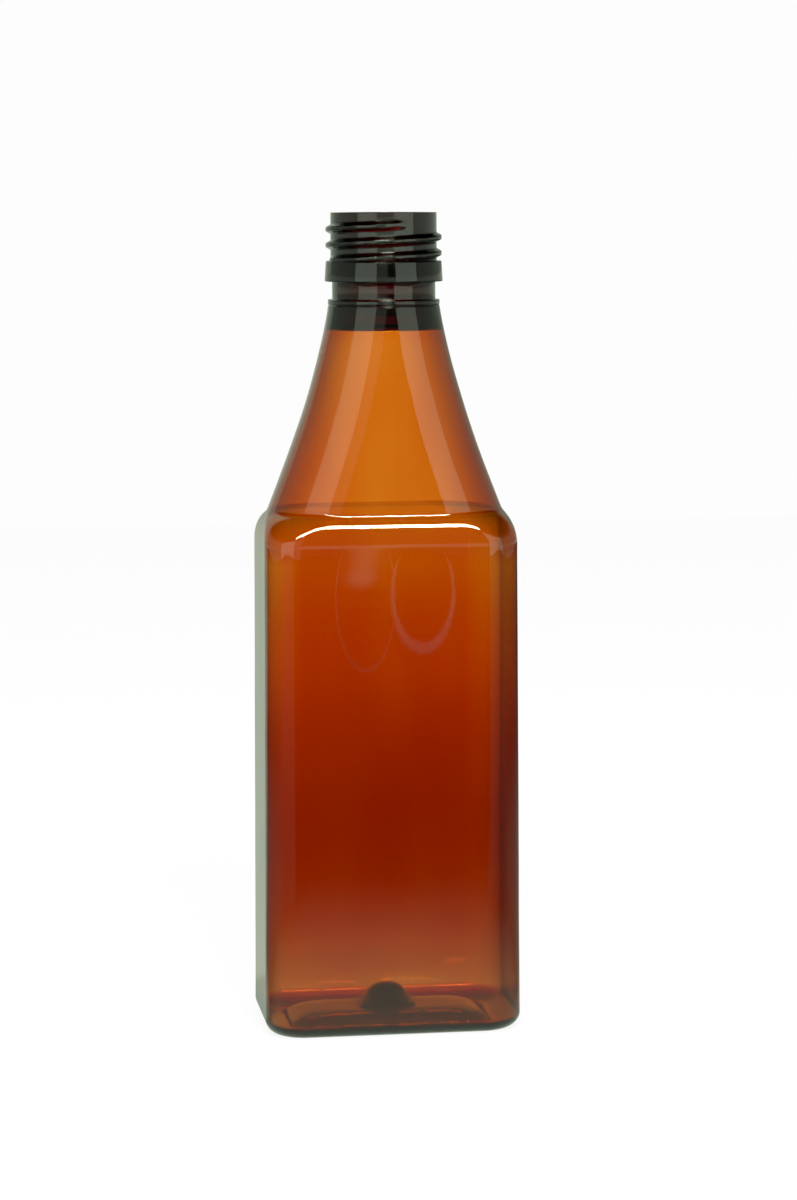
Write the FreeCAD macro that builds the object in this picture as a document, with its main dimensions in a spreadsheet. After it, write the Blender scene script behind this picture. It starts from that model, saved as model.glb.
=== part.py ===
import FreeCAD, Part
import math
import os
import Sketcher

# A flat (oblong) stretch blow-moulded PET bottle of about 250 ml, without its cap.
# It is one piece of plastic: a rounded-rectangular body, a pillow shoulder, a long
# tapering slope and a round 28 mm neck with a roll-on pilfer-proof screw finish.
# Millimetres. The origin is the middle of the base, +Z is up, X is the width and
# the front face looks towards -Y.

doc = FreeCAD.newDocument("flat_bottle")

# ---------------------------------------------------------------- driving sizes
SIZES = {
    # body
    "total_height": 194.0,
    "body_width": 60.0,          # width and depth at the top of the straight body
    "body_depth": 37.8,
    "body_draft": 0.32,          # degrees that each side leans out towards the base
    "corner_radius": 8.0,        # upright corners of the body, seen from above
    "heel_radius": 4.0,          # rounding between body and base
    "body_top": 116.4,           # where the straight body ends
    # pillow shoulder and slope
    "crease_height": 123.8,      # where the pillow meets the slope
    "crease_width": 56.1,
    "crease_depth": 33.6,
    "crease_corner": 16.2,
    "slope_start": 0.35,         # width gained per mm of drop, at the neck
    "slope_end": 0.78,           # and at the crease
    "front_slope_start": 0.20,   # depth gained per mm of drop, in the same way
    "front_slope_end": 0.12,
    "round_gap": 0.3,            # how far the neck end of the slope is from a true circle
    "pillow_turn": 56.0,         # degrees that the pillow turns before the crease
    # neck, all heights measured down from the sealing face
    "bore": 21.7,
    "lip_width": 25.05,          # outer diameter of the sealing band and thread root
    "lip_rounding": 0.4,
    "edge_rounding": 0.25,       # small radius on the collar's and the ring's edges
    "collar_top_drop": 11.3,
    "collar_top_width": 27.3,
    "collar_bottom_drop": 16.15,
    "collar_bottom_width": 27.9,
    "recess_width": 24.4,
    "ring_top_drop": 20.35,
    "ring_bottom_drop": 22.3,
    "ring_width": 26.4,
    "thick_share": 0.09,         # share of the slope that keeps the neck's thick wall
    "thin_share": 0.16,          # and from where the slope has its full blown thinness
    "thick_wall": 1.7,           # wall where the thick stretch ends
    # screw thread
    "thread_pitch": 3.7,
    "thread_width": 27.4,        # outer diameter over the thread
    "thread_base": 2.3,          # axial width of the thread at its root
    "thread_crest": 1.2,         # and where its crest begins to round
    "thread_rise": 0.3,          # height of the rounded crest
    "thread_turns": 2.33,
    "thread_start_drop": 2.75,
    "thread_start_angle": 289.0,
    "thread_fade": 32.0,         # degrees over which each end sinks into the neck
    "thread_sink": 0.25,         # how far the root is buried in the neck
    # walls and base
    "wall": 0.5,
    "base_wall": 1.0,
    "pushup_height": 4.6,
    "foot_width": 2.2,           # flat standing ring between heel and push-up
    "foot_corner": 6.0,
    "pushup_run": 9.0,           # how far the dome leans in on the way up
    "dome_corner": 4.0,
    "gate_radius": 2.2,          # stub where the plastic entered the mould
    "gate_drop": 0.5,
}

sheet = doc.addObject("Spreadsheet::Sheet", "Sizes")
for row, (word, value) in enumerate(SIZES.items(), start=1):
    sheet.set("A%d" % row, word.replace("_", " "))
    sheet.set("B%d" % row, str(value))
    sheet.setAlias("B%d" % row, word)
doc.recompute()


def size(word):
    """The present value of one driving size."""
    return float(sheet.get(word))


def plane(body, role):
    """One of a body's own origin planes or axes, found by its role."""
    return next(item for item in body.Origin.OriginFeatures if item.Role == role)


def new_body(name):
    return doc.addObject("PartDesign::Body", name)


# ------------------------------------------------------------------- sketches
def section(body, name, width, depth, radius, height):
    """A level rounded rectangle round the Z axis. The four sizes are expressions."""
    sketch = body.newObject("Sketcher::SketchObject", name)
    sketch.AttachmentSupport = [(plane(body, "XY_Plane"), "")]
    sketch.MapMode = "FlatFace"
    sketch.setExpression("AttachmentOffset.Base.z", height)

    half_x = sheet.evalExpression(width) / 2
    half_y = sheet.evalExpression(depth) / 2
    r = sheet.evalExpression(radius)
    z_axis = FreeCAD.Vector(0, 0, 1)
    corners = [(1, 1, 0), (-1, 1, 90), (-1, -1, 180), (1, -1, 270)]
    ends = []
    for sign_x, sign_y, start in corners:
        centre = FreeCAD.Vector(sign_x * (half_x - r), sign_y * (half_y - r), 0)
        circle = Part.Circle(centre, z_axis, r)
        first = math.radians(start)
        last = math.radians(start + 90)
        sketch.addGeometry(Part.ArcOfCircle(circle, first, last), False)
        ends.append((circle.value(first), circle.value(last)))
    for index in range(4):
        line = Part.LineSegment(ends[index][1], ends[(index + 1) % 4][0])
        sketch.addGeometry(line, False)

    # Arcs are 0 to 3 and lines 4 to 7: line 4 is the back, 5 the left side,
    # 6 the front and 7 the right side.
    for index in range(4):
        line = 4 + index
        following = (index + 1) % 4
        sketch.addConstraint(Sketcher.Constraint("Tangent", index, 2, line, 1))
        sketch.addConstraint(Sketcher.Constraint("Tangent", line, 2, following, 1))
    for line, direction in ((4, "Horizontal"), (5, "Vertical"), (6, "Horizontal"), (7, "Vertical")):
        sketch.addConstraint(Sketcher.Constraint(direction, line))
    for index in range(1, 4):
        sketch.addConstraint(Sketcher.Constraint("Equal", 0, index))
    sketch.addConstraint(Sketcher.Constraint("Symmetric", 4, 1, 6, 1, -1, 1))

    rules = (
        ("width", Sketcher.Constraint("DistanceX", 5, 1, 7, 1, 2 * half_x), width),
        ("depth", Sketcher.Constraint("DistanceY", 6, 1, 4, 1, 2 * half_y), depth),
        ("radius", Sketcher.Constraint("Radius", 0, r), radius),
    )
    for word, constraint, expression in rules:
        index = sketch.addConstraint(constraint)
        sketch.renameConstraint(index, word)
        sketch.setExpression("Constraints." + word, expression)
    return sketch


def profile(body, name, points):
    """A closed outline in the XZ plane. Each point is (x, z), both expressions."""
    sketch = body.newObject("Sketcher::SketchObject", name)
    sketch.AttachmentSupport = [(plane(body, "XZ_Plane"), "")]
    sketch.MapMode = "FlatFace"
    places = [
        FreeCAD.Vector(sheet.evalExpression(x), sheet.evalExpression(z), 0) for x, z in points
    ]
    count = len(points)
    for index in range(count):
        line = Part.LineSegment(places[index], places[(index + 1) % count])
        sketch.addGeometry(line, False)
    for index in range(count):
        following = (index + 1) % count
        sketch.addConstraint(Sketcher.Constraint("Coincident", index, 2, following, 1))
    for index, (x, z) in enumerate(points):
        for kind, place, expression in (
            ("DistanceX", places[index].x, x),
            ("DistanceY", places[index].y, z),
        ):
            if abs(place) < 1e-9:
                axis = "PointOnObject"
                target = -2 if kind == "DistanceX" else -1
                sketch.addConstraint(Sketcher.Constraint(axis, index, 1, target))
                continue
            which = sketch.addConstraint(Sketcher.Constraint(kind, -1, 1, index, 1, place))
            word = "%s%d" % (kind[-1].lower(), index)
            sketch.renameConstraint(which, word)
            sketch.setExpression("Constraints." + word, expression)
    return sketch


# ---------------------------------------------------------- the form as rules
def hermite(fraction):
    """The four weights of a cubic that leaves and arrives at given slopes."""
    t = fraction
    start = 2 * t**3 - 3 * t**2 + 1
    leave = t**3 - 2 * t**2 + t
    end = -2 * t**3 + 3 * t**2
    arrive = t**3 - t**2
    return start, leave, end, arrive


RING_BOTTOM = "(Sizes.total_height - Sizes.ring_bottom_drop)"
SLOPE_HEIGHT = "(%s - Sizes.crease_height)" % RING_BOTTOM


def between(first, last, share):
    """A straight mix of two expressions."""
    return "((1 - %.6f) * %s + %.6f * %s)" % (share, first, share, last)


def inset_size(full, inset):
    return "(%s) - 2 * (%s)" % (full, inset)


def slope_rules(fraction, inset):
    """Width, depth, corner radius and height on the slope: 0 at the neck, 1 at the crease."""
    start, leave, end, arrive = hermite(fraction)
    width = (
        "%.6f * Sizes.ring_width + %.6f * Sizes.crease_width"
        " + %s * (%.6f * Sizes.slope_start + %.6f * Sizes.slope_end)"
        % (start, end, SLOPE_HEIGHT, leave, arrive)
    )
    depth = (
        "%.6f * Sizes.ring_width + %.6f * Sizes.crease_depth"
        " + %s * (%.6f * Sizes.front_slope_start + %.6f * Sizes.front_slope_end)"
        % (start, end, SLOPE_HEIGHT, leave, arrive)
    )
    flat = between("Sizes.round_gap", "(Sizes.crease_depth / 2 - Sizes.crease_corner)", fraction)
    radius = "(%s) / 2 - %s - %s" % (depth, flat, inset)
    height = between(RING_BOTTOM, "Sizes.crease_height", fraction)
    return inset_size(width, inset), inset_size(depth, inset), radius, height


def pillow_rules(step, inset):
    """The same on the pillow shoulder: step 0 is the straight body's top, the last the crease."""
    turn = math.radians(size("pillow_turn"))
    angle = turn * step / PILLOW_STEPS
    inward = (1 - math.cos(angle)) / (1 - math.cos(turn))
    upward = math.sin(angle) / math.sin(turn)
    width = between("Sizes.body_width", "Sizes.crease_width", inward)
    depth = between("Sizes.body_depth", "Sizes.crease_depth", inward)
    radius = between("Sizes.corner_radius", "Sizes.crease_corner", inward) + " - " + inset
    height = between("Sizes.body_top", "Sizes.crease_height", upward)
    return inset_size(width, inset), inset_size(depth, inset), radius, height


def loft(body, kind, name, sections, ruled=False):
    """Adds or cuts the skin over a body's own sections, first to last."""
    skin = body.newObject("PartDesign::" + kind, name)
    skin.Profile = sections[0]
    skin.Sections = [(item, [""]) for item in sections[1:]]
    skin.Ruled = ruled
    doc.recompute()
    return skin


def fillet(body, name, base, height, radius):
    """Rounds the edges of a body's last feature that lie level at one height."""
    edges = []
    for index, edge in enumerate(base.Shape.Edges, start=1):
        if all(abs(vertex.Z - height) < 1e-4 for vertex in edge.Vertexes):
            edges.append("Edge%d" % index)
    rounding = body.newObject("PartDesign::Fillet", name)
    rounding.Base = (base, edges)
    rounding.setExpression("Radius", radius)
    doc.recompute()
    return rounding


def body_block(body, floor, inset):
    """The straight body, leaning out a little towards its rounded heel."""
    outline = section(
        body,
        body.Label + "BodyTopLine",
        inset_size("Sizes.body_width", inset),
        inset_size("Sizes.body_depth", inset),
        "Sizes.corner_radius - " + inset,
        "Sizes.body_top",
    )
    block = body.newObject("PartDesign::Pad", body.Label + "Block")
    block.Profile = outline
    block.Reversed = True
    block.setExpression("Length", "Sizes.body_top - (%s)" % floor)
    doc.recompute()

    draft = body.newObject("PartDesign::Draft", body.Label + "Draft")
    sides = [
        "Face%d" % index
        for index, face in enumerate(block.Shape.Faces, start=1)
        if face.BoundBox.ZLength > size("body_top") / 2
    ]
    draft.Base = (block, sides)
    draft.NeutralPlane = (outline, [""])
    draft.setExpression("Angle", "Sizes.body_draft")
    doc.recompute()
    return fillet(
        body,
        body.Label + "Heel",
        draft,
        sheet.evalExpression(floor),
        "Sizes.heel_radius - " + inset,
    )


def shoulder(body, inset):
    """The pillow shoulder, a loft whose levels follow an arc."""
    lines = [
        section(body, "%sPillow%d" % (body.Label, step), *pillow_rules(step, inset))
        for step in range(PILLOW_STEPS + 1)
    ]
    return loft(body, "AdditiveLoft", body.Label + "Shoulder", lines)


def slope(body, name, fractions, insets):
    """One stretch of the slope between the crease and the neck."""
    lines = [
        section(body, "%s%sLine%d" % (body.Label, name, index), *slope_rules(fraction, inset))
        for index, (fraction, inset) in enumerate(zip(fractions, insets))
    ]
    return loft(body, "AdditiveLoft", body.Label + name, lines, ruled=len(lines) == 2)


def turned(body, name, points):
    """A full turn of an outline about the Z axis."""
    outline = profile(body, name + "Outline", points)
    doc.recompute()
    solid = body.newObject("PartDesign::Revolution", name)
    solid.Profile = outline
    solid.ReferenceAxis = (plane(body, "Z_Axis"), [""])
    solid.Angle = 360
    doc.recompute()
    return solid


def push_up(body, name, lift):
    """The hollow dome under the base, or the raised floor that it makes inside."""
    lines = []
    for step in range(DOME_STEPS + 1):
        angle = math.pi / 2 * step / (DOME_STEPS + DOME_REST)
        run = "(Sizes.heel_radius + Sizes.foot_width - %s + %.6f * Sizes.pushup_run)" % (
            lift,
            1 - math.cos(angle),
        )
        line = section(
            body,
            "%sLine%d" % (name, step),
            inset_size("Sizes.body_width", run),
            inset_size("Sizes.body_depth", run),
            between("Sizes.foot_corner", "Sizes.dome_corner", step / DOME_STEPS) + " + " + lift,
            "%s + %.6f * Sizes.pushup_height" % (lift, math.sin(angle)),
        )
        lines.append(line)
    return loft(body, "SubtractiveLoft", name, lines)


# ------------------------------------------------------------- the outer form
PILLOW_STEPS = 4
DOME_STEPS = 3
DOME_REST = 0.5                  # part of a step that stays flat on top of the dome
THREAD_POINTS = 24               # points of the thread's path in one turn
SLOPE_FRACTIONS = [0.0, 0.2, 0.4, 0.6, 0.8, 1.0]

outside = new_body("Outside")
doc.recompute()
body_block(outside, "0", "0")
shoulder(outside, "0")
slope(outside, "Slope", SLOPE_FRACTIONS, ["0"] * len(SLOPE_FRACTIONS))


def drop(word):
    """The height of something measured down from the sealing face."""
    return "Sizes.total_height - Sizes.%s" % word


turned(
    outside,
    "Neck",
    [
        ("0", drop("ring_bottom_drop")),
        ("Sizes.ring_width / 2", drop("ring_bottom_drop")),
        ("Sizes.ring_width / 2", drop("ring_top_drop")),
        ("Sizes.recess_width / 2", drop("ring_top_drop")),
        ("Sizes.recess_width / 2", drop("collar_bottom_drop")),
        ("Sizes.collar_bottom_width / 2", drop("collar_bottom_drop")),
        ("Sizes.collar_top_width / 2", drop("collar_top_drop")),
        ("Sizes.lip_width / 2", drop("collar_top_drop")),
        ("Sizes.lip_width / 2", "Sizes.total_height"),
        ("0", "Sizes.total_height"),
    ],
)
fillet(outside, "LipRounding", outside.Tip, size("total_height"), "Sizes.lip_rounding")
for word in ("collar_top", "collar_bottom", "ring_top"):
    level = sheet.evalExpression(drop(word + "_drop"))
    fillet(outside, word.title().replace("_", ""), outside.Tip, level, "Sizes.edge_rounding")
push_up(outside, "PushUp", "0")
gate = outside.newObject("PartDesign::AdditiveCylinder", "Gate")
gate.setExpression("Radius", "Sizes.gate_radius")
gate.setExpression("Height", "Sizes.gate_drop + Sizes.base_wall / 2")
gate.setExpression("AttachmentOffset.Base.z", "Sizes.pushup_height - Sizes.gate_drop")
gate.AttachmentSupport = [(plane(outside, "XY_Plane"), "")]
gate.MapMode = "FlatFace"
doc.recompute()


# ------------------------------------------------------------------ the cavity
inside = new_body("Inside")
doc.recompute()
body_block(inside, "Sizes.base_wall", "Sizes.wall")
shoulder(inside, "Sizes.wall")
thick_share = size("thick_share")
thin_share = size("thin_share")
thin_fractions = [
    thin_share + (1 - thin_share) * (fraction - SLOPE_FRACTIONS[0]) for fraction in SLOPE_FRACTIONS
]
slope(inside, "Slope", thin_fractions, ["Sizes.wall"] * len(thin_fractions))
slope(inside, "Thinning", [thick_share, thin_share], ["Sizes.thick_wall", "Sizes.wall"])
slope(
    inside,
    "ThickNeck",
    [0.0, thick_share],
    ["(Sizes.ring_width - Sizes.bore) / 2", "Sizes.thick_wall"],
)
turned(
    inside,
    "Bore",
    [
        ("0", drop("ring_bottom_drop")),
        ("Sizes.bore / 2", drop("ring_bottom_drop")),
        ("Sizes.bore / 2", "Sizes.total_height - Sizes.lip_rounding"),
        ("Sizes.bore / 2 + Sizes.lip_rounding", "Sizes.total_height"),
        ("0", "Sizes.total_height"),
    ],
)
push_up(inside, "RaisedFloor", "Sizes.base_wall")


# ------------------------------------------------------------- the screw thread
def thread_path():
    """A right-hand helix, lower end first. Both of its ends sink into the neck."""
    turns = size("thread_turns")
    fade = size("thread_fade") / 360
    crest_radius = size("thread_width") / 2
    root_radius = size("lip_width") / 2 - size("thread_sink")
    steps = round(turns * THREAD_POINTS)
    places = []
    for index in range(steps + 1):
        turn = turns * index / steps
        risen = math.sin(min(turn, turns - turn, fade) / fade * math.pi / 2)
        radius = root_radius + (crest_radius - root_radius) * risen
        angle = 2 * math.pi * turn
        height = size("thread_pitch") * turn
        places.append(FreeCAD.Vector(radius * math.cos(angle), radius * math.sin(angle), height))
    curve = Part.BSplineCurve()
    curve.interpolate(places)
    return Part.Wire([curve.toShape()])


def thread_outline():
    """The thread's section at the lower end of its path, with the crest on the path."""
    tip = size("lip_width") / 2 - size("thread_sink")
    foot = 2 * tip - size("thread_width") / 2
    shelf = tip - size("thread_rise")
    root = size("thread_base") / 2
    crest = size("thread_crest") / 2
    low_root = FreeCAD.Vector(foot, 0, -root)
    low_shelf = FreeCAD.Vector(shelf, 0, -crest)
    high_shelf = FreeCAD.Vector(shelf, 0, crest)
    high_root = FreeCAD.Vector(foot, 0, root)
    edges = [
        Part.LineSegment(low_root, low_shelf),
        Part.Arc(low_shelf, FreeCAD.Vector(tip, 0, 0), high_shelf),
        Part.LineSegment(high_shelf, high_root),
        Part.LineSegment(high_root, low_root),
    ]
    return Part.Wire([edge.toShape() for edge in edges])


def screw_thread():
    """The outline carried along the helix, always upright. Its Placement sets its two ends."""
    pipe = Part.BRepOffsetAPI.MakePipeShell(thread_path())
    pipe.setBiNormalMode(FreeCAD.Vector(0, 0, 1))
    pipe.add(thread_outline())
    pipe.build()
    pipe.makeSolid()
    thread = doc.addObject("Part::Feature", "Thread")
    thread.Shape = pipe.shape()
    rise = size("thread_pitch") * size("thread_turns")
    low_end = size("total_height") - size("thread_start_drop") - rise
    low_angle = size("thread_start_angle") - 360 * size("thread_turns")
    thread.Placement = FreeCAD.Placement(
        FreeCAD.Vector(0, 0, low_end), FreeCAD.Rotation(FreeCAD.Vector(0, 0, 1), low_angle)
    )
    return thread


# ----------------------------------------------------------- the finished piece
plastic = doc.addObject("Part::Fuse", "Plastic")
plastic.Base = outside
plastic.Tool = screw_thread()

bottle = doc.addObject("Part::Cut", "Bottle")
bottle.Label = "bottle"
bottle.Base = plastic
bottle.Tool = inside
doc.recompute()

for item in doc.Objects:
    if "Invalid" in item.State or "Error" in item.State:
        raise RuntimeError("%s failed: %s" % (item.Label, item.State))
    shape = getattr(item, "Shape", None)
    if shape is not None and item.TypeId.startswith("Part") and shape.isNull():
        raise RuntimeError("%s has no shape" % item.Label)
if not bottle.Shape.isValid() or len(bottle.Shape.Solids) != 1:
    raise RuntimeError("the bottle isn't one valid solid")

os.makedirs("parts", exist_ok=True)
bottle.Shape.exportStep("parts/%s.step" % bottle.Label)
box = bottle.Shape.optimalBoundingBox()
print("bottle: %.1f cm3 of plastic" % (bottle.Shape.Volume / 1000))
print("holds: %.0f ml to the brim" % (inside.Shape.Volume / 1000))
print("box: %.1f x %.1f x %.1f mm" % (box.XLength, box.YLength, box.ZLength))
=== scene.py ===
# %% [markdown]
# # An empty amber PET bottle, flat and narrow-necked
#
# The real thing is one piece of plastic. A small thick preform, with the screw neck already
# moulded on it, is heated and blown out against a cold metal mould. So the neck keeps the
# preform's thick wall and looks almost black, and the stretched body is as thin as card.
# This lesson builds that one wall as a closed shell, inside and outside, gives it real
# plastic that swallows light by the millimetre, and lights it like a product on a table.
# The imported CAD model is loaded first: it is the frame that every size and place comes from.

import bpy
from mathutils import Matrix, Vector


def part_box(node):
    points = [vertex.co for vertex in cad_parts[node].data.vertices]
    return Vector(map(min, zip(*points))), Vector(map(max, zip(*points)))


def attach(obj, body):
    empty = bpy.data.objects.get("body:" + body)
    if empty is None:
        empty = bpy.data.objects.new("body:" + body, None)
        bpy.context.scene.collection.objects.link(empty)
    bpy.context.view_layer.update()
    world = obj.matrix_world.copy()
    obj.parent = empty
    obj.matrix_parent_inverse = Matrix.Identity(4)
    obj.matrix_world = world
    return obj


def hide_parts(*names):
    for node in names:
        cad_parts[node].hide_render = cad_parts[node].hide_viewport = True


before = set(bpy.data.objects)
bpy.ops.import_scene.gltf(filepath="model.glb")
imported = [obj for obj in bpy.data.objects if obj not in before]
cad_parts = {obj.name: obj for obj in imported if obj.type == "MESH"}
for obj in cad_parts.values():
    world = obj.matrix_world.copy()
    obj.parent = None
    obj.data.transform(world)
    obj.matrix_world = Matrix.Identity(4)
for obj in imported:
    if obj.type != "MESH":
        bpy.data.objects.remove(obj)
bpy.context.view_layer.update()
low_corner, high_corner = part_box("bottle")

# %% Libraries and the unit
import math

import bmesh
import bpy
from mathutils import Matrix, Vector

MM = 0.001
TALL = high_corner.z / MM
print("CAD bottle: %.1f mm tall, %.1f mm wide, %.1f mm deep" % (
    TALL, (high_corner.x - low_corner.x) / MM, (high_corner.y - low_corner.y) / MM))

# %% [markdown]
# ## One helper for every node tree
#
# Geometry, materials and the world are all node trees, so one small function adds a node.
# It takes the tree, the node's type, a dictionary of inputs (a number, a colour, or another
# node whose first output is linked), and the node's own settings.

# %% Node helper and colours


def add(tree, kind, inputs=None, **settings):
    """Adds a node, sets its settings, then fills or links its inputs."""
    node = tree.nodes.new(kind)
    for word, value in settings.items():
        setattr(node, word, value)
    for key, value in (inputs or {}).items():
        if isinstance(value, bpy.types.Node):
            value = value.outputs[0]
        if isinstance(value, bpy.types.NodeSocket):
            tree.links.new(value, node.inputs[key])
        else:
            node.inputs[key].default_value = value
    return node


def srgb(code):
    """A hex colour as it looks on screen, turned into Blender's linear values."""
    channels = [int(code[place:place + 2], 16) / 255 for place in (1, 3, 5)]
    return [c / 12.92 if c <= 0.04045 else ((c + 0.055) / 1.055) ** 2.4 for c in channels] + [1.0]


print("white stays white:", srgb("#ffffff"))

# %% [markdown]
# ## The camera
#
# The bottle stands a little turned and is seen from slightly above, from arm's length with a
# long lens, so its upright lines stay nearly parallel. The camera is set before the shapes,
# because it decides where fine detail is worth its faces.

# %% Camera place and lens
CAMERA_DISTANCE = 0.78633
CAMERA_HEIGHT = high_corner.z + 0.0047
CAMERA_TURN = math.radians(8.085)
CAMERA_DOWN = math.radians(7.005)
CAMERA_ROLL = math.radians(0.206)
LENS_MM = 99.59
SENSOR_MM = 36.0
FRAME_SHIFT = 0.0114
print("lens: %.0f mm at %.2f m" % (LENS_MM, CAMERA_DISTANCE))

# %% Camera
camera = bpy.data.objects.new("camera", bpy.data.cameras.new("camera"))
bpy.context.scene.collection.objects.link(camera)
camera.data.lens = LENS_MM
camera.data.sensor_width = SENSOR_MM
camera.data.shift_x = FRAME_SHIFT
camera.data.clip_start = 10 * MM
camera.matrix_world = (
    Matrix.Translation((
        -CAMERA_DISTANCE * math.sin(CAMERA_TURN),
        -CAMERA_DISTANCE * math.cos(CAMERA_TURN),
        CAMERA_HEIGHT,
    ))
    @ Matrix.Rotation(-CAMERA_TURN, 4, "Z")
    @ Matrix.Rotation(math.radians(90) - CAMERA_DOWN, 4, "X")
    @ Matrix.Rotation(-CAMERA_ROLL, 4, "Z")
)
bpy.context.scene.camera = camera
print("camera at", [round(value, 3) for value in camera.matrix_world.translation])

# %% [markdown]
# ## The form of the outside, as rules
#
# Cut level anywhere, the bottle is a rounded rectangle: half a width, half a depth and one
# corner radius. On the neck all three are equal and it is a circle. So the whole outside is
# a list of level rings from the middle of the base up to the lip. It could also be lofted or
# pulled out of a cube by hand, but rules keep every size a real one. Each stretch follows
# the mould's own rule: a straight wall with a little draft (the body widens downwards, so
# that it leaves the mould), an arc on the pillow shoulder, a cubic on the long slope.

# %% Sizes of the body and shoulder in millimetres
BODY_WIDTH = 60.0
BODY_DEPTH = 37.8
BODY_TOP = 116.4
BODY_DRAFT = math.radians(0.32)
CORNER = 8.0
CREASE_HEIGHT = 123.8
CREASE_WIDTH = 56.1
CREASE_DEPTH = 33.6
CREASE_CORNER = 16.2
PILLOW_TURN = math.radians(56)
print("pillow shoulder: %.1f mm high" % (CREASE_HEIGHT - BODY_TOP))

# %% Sizes of the slope, and how its width and depth leave the neck and reach the crease
RING_BOTTOM = TALL - 22.3
RING_WIDTH = 26.4
SLOPE_RUN = RING_BOTTOM - CREASE_HEIGHT
WIDTH_AT_NECK = 0.35
WIDTH_AT_CREASE = 0.78
DEPTH_AT_NECK = 0.20
DEPTH_AT_CREASE = 0.12
ROUND_GAP = 0.3
print("slope: %.1f mm high" % SLOPE_RUN)

# %% Rules for a level ring


def mix(first, last, share):
    """The value that lies a share of the way from the first to the last."""
    return first + (last - first) * share


def cubic(start, end, leave, arrive, share):
    """A cubic between two values that leaves and arrives at given slopes."""
    t = share
    return (
        (2 * t**3 - 3 * t**2 + 1) * start
        + (t**3 - 2 * t**2 + t) * leave
        + (3 * t**2 - 2 * t**3) * end
        + (t**3 - t**2) * arrive
    )


def form(height):
    """Half width, half depth and corner radius of the outside, heel to neck."""
    if height <= BODY_TOP:
        lean = (BODY_TOP - height) * math.tan(BODY_DRAFT)
        return BODY_WIDTH / 2 + lean, BODY_DEPTH / 2 + lean, CORNER
    if height <= CREASE_HEIGHT:
        rise = (height - BODY_TOP) / (CREASE_HEIGHT - BODY_TOP) * math.sin(PILLOW_TURN)
        inward = (1 - math.sqrt(1 - rise**2)) / (1 - math.cos(PILLOW_TURN))
        return (
            mix(BODY_WIDTH, CREASE_WIDTH, inward) / 2,
            mix(BODY_DEPTH, CREASE_DEPTH, inward) / 2,
            mix(CORNER, CREASE_CORNER, inward),
        )
    share = min((RING_BOTTOM - height) / SLOPE_RUN, 1.0)
    width = cubic(
        RING_WIDTH, CREASE_WIDTH, WIDTH_AT_NECK * SLOPE_RUN, WIDTH_AT_CREASE * SLOPE_RUN, share)
    depth = cubic(
        RING_WIDTH, CREASE_DEPTH, DEPTH_AT_NECK * SLOPE_RUN, DEPTH_AT_CREASE * SLOPE_RUN, share)
    flat = mix(ROUND_GAP, CREASE_DEPTH / 2 - CREASE_CORNER, share)
    return width / 2, depth / 2, depth / 2 - flat


def soft_form(height, blend=0.5, samples=7):
    """The form with its crease rounded, as the mean of the rule over a short height."""
    if abs(height - CREASE_HEIGHT) > blend:
        return form(height)
    places = [height + blend * (2 * i / (samples - 1) - 1) for i in range(samples)]
    rings = [form(place) for place in places]
    return tuple(sum(ring[i] for ring in rings) / samples for i in range(3))


print("outside at half height:", [round(value, 2) for value in form(TALL / 2)])

# %% [markdown]
# ## How thick the wall is
#
# Dyed plastic shows its thickness as colour, so the wall matters as much as the form. The
# neck is moulded and keeps its bore. Right under it the blown wall starts with a sharp inner
# step. Slope and foot come out thinnest, and the plastic gathers low on the body, where the
# colour deepens. The corners reach the mould last, so high on the body they are thinner.
# One thickness for all, as Solidify gives, would make the whole bottle a single colour.

# %% Wall thickness
BORE = 21.7
THICK_END = TALL - 25.9
THIN_START = THICK_END - 0.5
WALL_STEPS = [
    (0.0, 0.17, 0.14),
    (9.0, 0.17, 0.14),
    (29.0, 0.27, 0.22),
    (50.0, 0.32, 0.27),
    (66.0, 0.31, 0.27),
    (91.0, 0.265, 0.22),
    (BODY_TOP, 0.20, 0.16),
    (CREASE_HEIGHT, 0.155, 0.19),
    (THIN_START - 6, 0.14, 0.17),
    (THIN_START, 0.15, 0.20),
]


def wall(height):
    """The blown wall on the broad faces and on the narrow sides, eased between known heights."""
    for low, high in zip(WALL_STEPS, WALL_STEPS[1:]):
        if height <= high[0]:
            share = max(0.0, (height - low[0]) / (high[0] - low[0]))
            eased = share * share * (3 - 2 * share)
            return mix(low[1], high[1], eased), mix(low[2], high[2], eased)
    return WALL_STEPS[-1][1:]


print("wall: %.2f mm on the slope, %.2f mm low on the body" % (wall(140)[0], wall(50)[0]))

# %% [markdown]
# ## The neck, a turned profile
#
# The neck is a standard screw finish: a sealing band, a thread, a conical locking collar, a
# recess and a small step ring with the fine groove where the mould's halves meet the neck
# tool. It could be turned with the Screw modifier. Here its outline is a few corners, each
# with the small radius of a moulded edge, which a function turns into true arcs, because
# the rings below need the points themselves.

# %% Neck sizes
LIP_RADIUS = 12.525
RECESS_RADIUS = 12.2
COLLAR_LOW = 13.95
COLLAR_HIGH = 13.65
COLLAR_BOTTOM = TALL - 16.15
COLLAR_TOP = TALL - 11.3
RING_TOP = TALL - 20.35
MOULD_JOINT = RING_BOTTOM + 0.6
GROOVE_DEPTH = 0.18
EDGE = 0.25
BORE_REACH = 5.0
print("collar: %.1f mm wide at its foot" % (2 * COLLAR_LOW))

# %% Neck outline


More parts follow.
